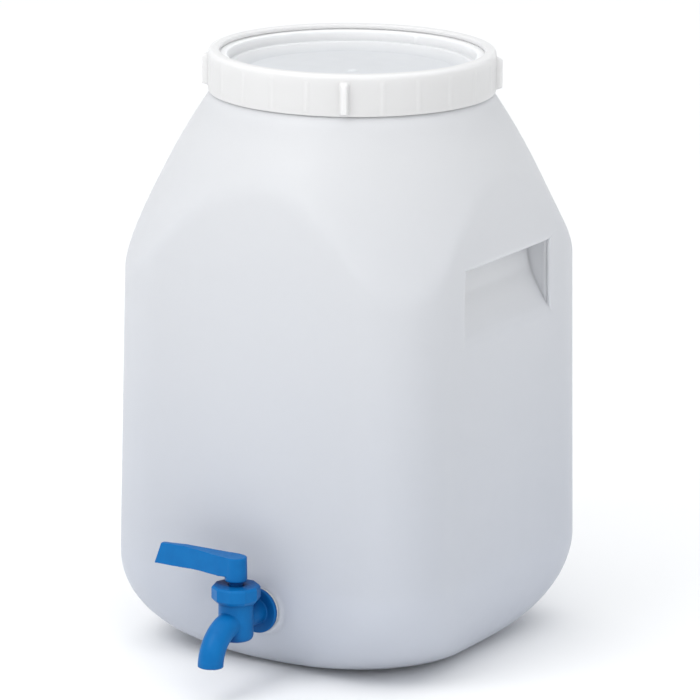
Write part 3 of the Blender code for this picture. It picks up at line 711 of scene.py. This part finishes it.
def make_handle():
    """A lever, wide and low at the boss and thin and tall at its tip."""
    base = HANDLE_LOW.z - TAP_HEIGHT
    tip_top = HANDLE_HIGH.z - TAP_HEIGHT
    top = tip_top - 0.0006
    length = TAP_X - HANDLE_LOW.x
    tip_low = tip_top - LEVER_TIP_HEIGHT
    stations = [
        (-0.0004, 0.00735, base + 0.0040, top),
        (0.0100, 0.00665, base + 0.0032, top + 0.0002),
        (0.0180, 0.00570, base + 0.0034, top + 0.0004),
        (0.0270, 0.00470, base + 0.0038, top + 0.0008),
        (0.0340, 0.00390, base + 0.0036, top + 0.0010),
        (0.0450, 0.00290, base + 0.0030, top + 0.0014),
        (length, 0.00180, tip_low, tip_top),
    ]
    points = []
    for along, half, low, high in stations:
        lean = LEVER_LEAN * max(along, 0) / length
        points += lever_section(along, half, low, high, lean)
    faces = grid_faces(len(stations), 4)
    last = 4 * (len(stations) - 1)
    faces += [(3, 2, 1, 0), (last, last + 1, last + 2, last + 3)]
    lever = new_object("handle_moulding", mesh_of("handle_moulding", points, faces), BARREL)
    boss = rounded(
        [(0.0001, base), (BOSS_RADIUS, base), (BOSS_RADIUS - 0.0003, top), (0.0001, top)],
        (0.0014, 0.0009),
    )
    cut(lever, solid("boss", boss, BARREL), "UNION")
    socket = [(SQUARE_HALF * 2**0.5, z) for z in (base - 0.002, base + 0.0110)]
    squared = BARREL @ Matrix.Rotation(pi / 4, 4, "Z")
    cut(lever, turned("socket", socket, 4, None, squared, closed=False))
    return melted(lever, LEVER_VOXEL, 4)


# ---- Materials ----


class Nodes:
    """Short hand for building a material's node tree."""

    def __init__(self, name):
        self.material = bpy.data.materials.new(name)
        self.material.use_nodes = True
        self.tree = self.material.node_tree
        self.shader = self.tree.nodes["Principled BSDF"]
        self.place = self.tree.nodes.new("ShaderNodeTexCoord").outputs["Object"]

    def link(self, a, b):
        self.tree.links.new(a, b)

    def noise(self, scale, detail=3.0, rough=0.5):
        node = self.tree.nodes.new("ShaderNodeTexNoise")
        node.inputs["Scale"].default_value = scale
        node.inputs["Detail"].default_value = detail
        node.inputs["Roughness"].default_value = rough
        self.link(self.place, node.inputs["Vector"])
        return node.outputs["Fac"]

    def ramp(self, value, low, high, positions=(0.3, 0.7)):
        node = self.tree.nodes.new("ShaderNodeValToRGB")
        node.color_ramp.elements[0].position, node.color_ramp.elements[1].position = positions
        node.color_ramp.elements[0].color = (*low, 1)
        node.color_ramp.elements[1].color = (*high, 1)
        self.link(value, node.inputs["Fac"])
        return node.outputs["Color"]

    def span(self, value, low, high, given=(0.3, 0.7)):
        """The value, carried from the given range over to low and high."""
        node = self.tree.nodes.new("ShaderNodeMapRange")
        node.inputs["From Min"].default_value, node.inputs["From Max"].default_value = given
        node.inputs["To Min"].default_value = low
        node.inputs["To Max"].default_value = high
        self.link(value, node.inputs["Value"])
        return node.outputs["Result"]

    def mixed(self, colour, other, attribute):
        """The colour, replaced by the other one as far as the mesh's attribute says."""
        share = self.tree.nodes.new("ShaderNodeAttribute")
        share.attribute_name = attribute
        mix = self.tree.nodes.new("ShaderNodeMixRGB")
        mix.inputs["Color2"].default_value = (*other, 1)
        self.link(share.outputs["Fac"], mix.inputs["Fac"])
        self.link(colour, mix.inputs["Color1"])
        return mix.outputs["Color"]

    def cloudy_height(self, low, high):
        """0 to 1 between two heights of the object, with a tenth of slow noise added."""
        split = self.tree.nodes.new("ShaderNodeSeparateXYZ")
        self.link(self.place, split.inputs["Vector"])
        height = self.tree.nodes.new("ShaderNodeMapRange")
        height.inputs["From Min"].default_value = low
        height.inputs["From Max"].default_value = high
        height.inputs["To Max"].default_value = 0.9
        self.link(split.outputs["Z"], height.inputs["Value"])
        cloud = self.tree.nodes.new("ShaderNodeMath")
        cloud.operation = "MULTIPLY_ADD"
        cloud.inputs[1].default_value = 0.1
        self.link(self.noise(9.0, 2.0), cloud.inputs[0])
        self.link(height.outputs["Result"], cloud.inputs[2])
        return cloud.outputs["Value"]

    def bump(self, layers):
        """Stacks bumps, each (height, distance, strength)."""
        normal = None
        for height, distance, strength in layers:
            node = self.tree.nodes.new("ShaderNodeBump")
            node.inputs["Distance"].default_value = distance
            node.inputs["Strength"].default_value = strength
            self.link(height, node.inputs["Height"])
            if normal:
                self.link(normal, node.inputs["Normal"])
            normal = node.outputs["Normal"]
        self.link(normal, self.shader.inputs["Normal"])

    def set(self, **values):
        for key, value in values.items():
            self.shader.inputs[key.replace("_", " ")].default_value = value


def milky_plastic(name, low, high, heights, rough, scatter, grain, painted_pocket_light=None):
    """Natural polyethylene: light goes some way in, and the mould leaves a fine matt grain.

    The colour goes from low to high between two heights, with a little cloudiness. On the tank this ramp is
    painted shade, darker and bluer towards the bottom; on the inner lid it is painted light, lighter up the
    wall than on the disc. In the handholds the colour turns to a lighter one: painted light, standing in for
    light coming through the thin wall.
    """
    n = Nodes(name)
    # Height ramp: painted shade low on the tank, painted light up the inner lid's wall
    colour = n.ramp(n.cloudy_height(*heights), low, high, (0.0, 1.0))
    # painted light: the handholds' hollows get a lighter colour, standing in for light through the thin wall
    if painted_pocket_light:
        colour = n.mixed(colour, painted_pocket_light, "painted_pocket_light")
    n.link(colour, n.shader.inputs["Base Color"])
    n.link(n.span(n.noise(60.0, 4.0), *rough), n.shader.inputs["Roughness"])
    n.set(Subsurface_Weight=scatter, Subsurface_Scale=0.012, Subsurface_Radius=(1.0, 1.0, 1.0), IOR=1.5)
    n.set(Specular_IOR_Level=0.4)
    n.bump([(n.noise(14.0, 2.0), 0.0012, 0.25), (n.noise(900.0, 2.0), 0.0002, grain)])
    return n.material


def blue_moulding():
    """Blue plastic with painted shade: darker where the pieces crowd each other, as an ambient occlusion
    node finds.
    """
    n = Nodes("blue_moulded_plastic")
    open_colour = n.ramp(n.noise(120.0, 3.0), (0.0015, 0.128, 0.380), (0.0020, 0.144, 0.415))
    crevice_shade = n.tree.nodes.new("ShaderNodeAmbientOcclusion")
    crevice_shade.samples = 8
    crevice_shade.inputs["Distance"].default_value = 0.06
    # painted shade: dark blue mixed in by the occlusion, in creases and between parts
    mix = n.tree.nodes.new("ShaderNodeMixRGB")
    mix.inputs["Color1"].default_value = (0.0002, 0.032, 0.165, 1)
    n.link(n.span(crevice_shade.outputs["AO"], 0.0, 1.0, (0.25, 0.85)), mix.inputs["Fac"])
    n.link(open_colour, mix.inputs["Color2"])
    n.link(mix.outputs["Color"], n.shader.inputs["Base Color"])
    n.link(n.span(n.noise(400.0, 3.0), 0.36, 0.46), n.shader.inputs["Roughness"])
    n.set(IOR=1.5, Specular_IOR_Level=0.13)
    n.bump([(n.noise(90.0, 2.0), 0.0006, 0.15), (n.noise(1600.0, 2.0), 0.0001, 0.2)])
    return n.material


def seal_rubber():
    n = Nodes("white_seal_rubber")
    colour = n.ramp(n.noise(200.0, 3.0), (0.56, 0.56, 0.54), (0.64, 0.64, 0.62))
    n.link(colour, n.shader.inputs["Base Color"])
    n.link(n.span(n.noise(500.0, 3.0), 0.5, 0.7), n.shader.inputs["Roughness"])
    n.bump([(n.noise(1200.0, 2.0), 0.0001, 0.3)])
    return n.material


def studio_white():
    n = Nodes("studio_floor")
    colour = n.ramp(n.noise(3.0, 2.0), (0.925, 0.925, 0.925), (0.935, 0.935, 0.935))
    n.link(colour, n.shader.inputs["Base Color"])
    n.set(Roughness=0.9, Specular_IOR_Level=0.1)
    return n.material


def paint(thing, material):
    thing.data.materials.clear()
    thing.data.materials.append(material)


# ---- Camera and light ----


def make_camera():
    azimuth, elevation, distance = radians(31.06), radians(14.38), 3.211
    aim = Vector((0, 0, 0.2022))
    away = Vector((sin(azimuth) * cos(elevation), -cos(azimuth) * cos(elevation), sin(elevation)))
    camera = bpy.data.objects.new("camera", bpy.data.cameras.new("camera"))
    bpy.context.scene.collection.objects.link(camera)
    turn = away.to_track_quat("Z", "Y").to_matrix().to_4x4() @ Matrix.Rotation(radians(0.433), 4, "Z")
    camera.matrix_world = Matrix.Translation(aim + away * distance) @ turn
    camera.data.sensor_width = 36.0
    camera.data.lens = 237.7
    camera.data.clip_end = 50
    bpy.context.scene.camera = camera


def add_light(name, kind, energy):
    light = bpy.data.objects.new(name, bpy.data.lights.new(name, kind))
    light.data.energy = energy
    bpy.context.scene.collection.objects.link(light)
    return light


def make_light():
    world = bpy.data.worlds.new("studio")
    bpy.context.scene.world = world
    world.use_nodes = True
    background = world.node_tree.nodes["Background"]
    background.inputs["Color"].default_value = (0.965, 0.982, 1.0, 1)
    background.inputs["Strength"].default_value = 0.78
    sun = add_light("overhead", "SUN", 1.0)
    sun.data.angle = radians(80)
    for name, place, size, power in (
        ("front_softbox", (-0.25, -1.10, 1.25), 0.7, 6.5),
        ("right_softbox", (0.95, -1.00, 0.80), 0.7, 1.6),
    ):
        softbox = add_light(name, "AREA", power)
        softbox.data.size = size
        away = Vector(place) - Vector((0, 0, 0.28))
        softbox.matrix_world = Matrix.Translation(place) @ away.to_track_quat("Z", "Y").to_matrix().to_4x4()
    bpy.context.scene.view_settings.view_transform = "Standard"


def make_floor():
    mesh = bpy.data.meshes.new("floor")
    half = 9.0
    below = -GAP / 2
    corners = [(-half, -half, below), (half, -half, below), (half, half, below), (-half, half, below)]
    mesh.from_pydata(corners, [], [(0, 1, 2, 3)])
    floor = new_object("floor", mesh)
    paint(floor, studio_white())


# ---- Everything ----


def main():
    make_camera()
    # painted shade: the tank darkens and turns bluer towards its bottom, from height 0.36 down to 0.03
    natural = milky_plastic(
        "natural_polyethylene",
        (0.500, 0.530, 0.600),
        (0.680, 0.686, 0.702),
        (0.03, 0.36),
        (0.42, 0.54),
        0.5,
        0.10,
        # painted light: the lighter colour of the handholds' hollows
        painted_pocket_light=(0.790, 0.800, 0.822),
    )
    white = milky_plastic(
        "white_polypropylene",
        (0.690, 0.684, 0.680),
        (0.725, 0.720, 0.716),
        (0.38, 0.42),
        (0.34, 0.44),
        0.6,
        0.08,
    )
    # painted light and shade: the inner lid's disc is dark and its wall light, ramped by height
    frosted = milky_plastic(
        "frosted_polyethylene",
        (0.605, 0.624, 0.650),
        (0.900, 0.900, 0.905),
        (0.399, 0.408),
        (0.36, 0.46),
        0.6,
        0.08,
    )
    blue = blue_moulding()
    rubber = seal_rubber()
    pieces = (
        (make_tank(), "canister", "natural_polyethylene", natural, ("tank",)),
        (make_ring(), "ring", "white_plastic", white, ("screw_ring",)),
        (make_inner_lid(), "lid", "frosted_plastic", frosted, ("inner_lid",)),
        (
            make_gasket("lid_seal", 0.0881, 0.0933, GASKET_LOW.z, GASKET_HIGH.z, columns=240),
            "lid",
            "white_seal",
            rubber,
            ("lid_gasket",),
        ),
        (make_tap_body(), "canister", "blue_plastic", blue, ("tap_body",)),
        (
            make_gasket("tap_outer_seal", TAP_HOLE, 0.0150, -FLANGE_HIGH.y, -FLANGE_LOW.y, TAP_AXIS, 96),
            "canister",
            "white_seal",
            rubber,
            ("tap_outer_gasket",),
        ),
        (make_bonnet(), "canister", "blue_plastic", blue, ("tap_bonnet_nut",)),
        (make_handle(), "tap_valve", "blue_plastic", blue, ("tap_handle",)),
    )
    for thing, body, slot, material, nodes in pieces:
        paint(thing, material)
        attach(thing, body)
        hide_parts(*nodes)
    for node, material in (
        ("tap_inner_gasket", rubber),
        ("plug_seal_upper", rubber),
        ("plug_seal_lower", rubber),
        ("tap_lock_nut", blue),
        ("stem_washer", blue),
        ("tap_plug", blue),
    ):
        paint(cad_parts[node], material)
    make_floor()
    make_light()


main()
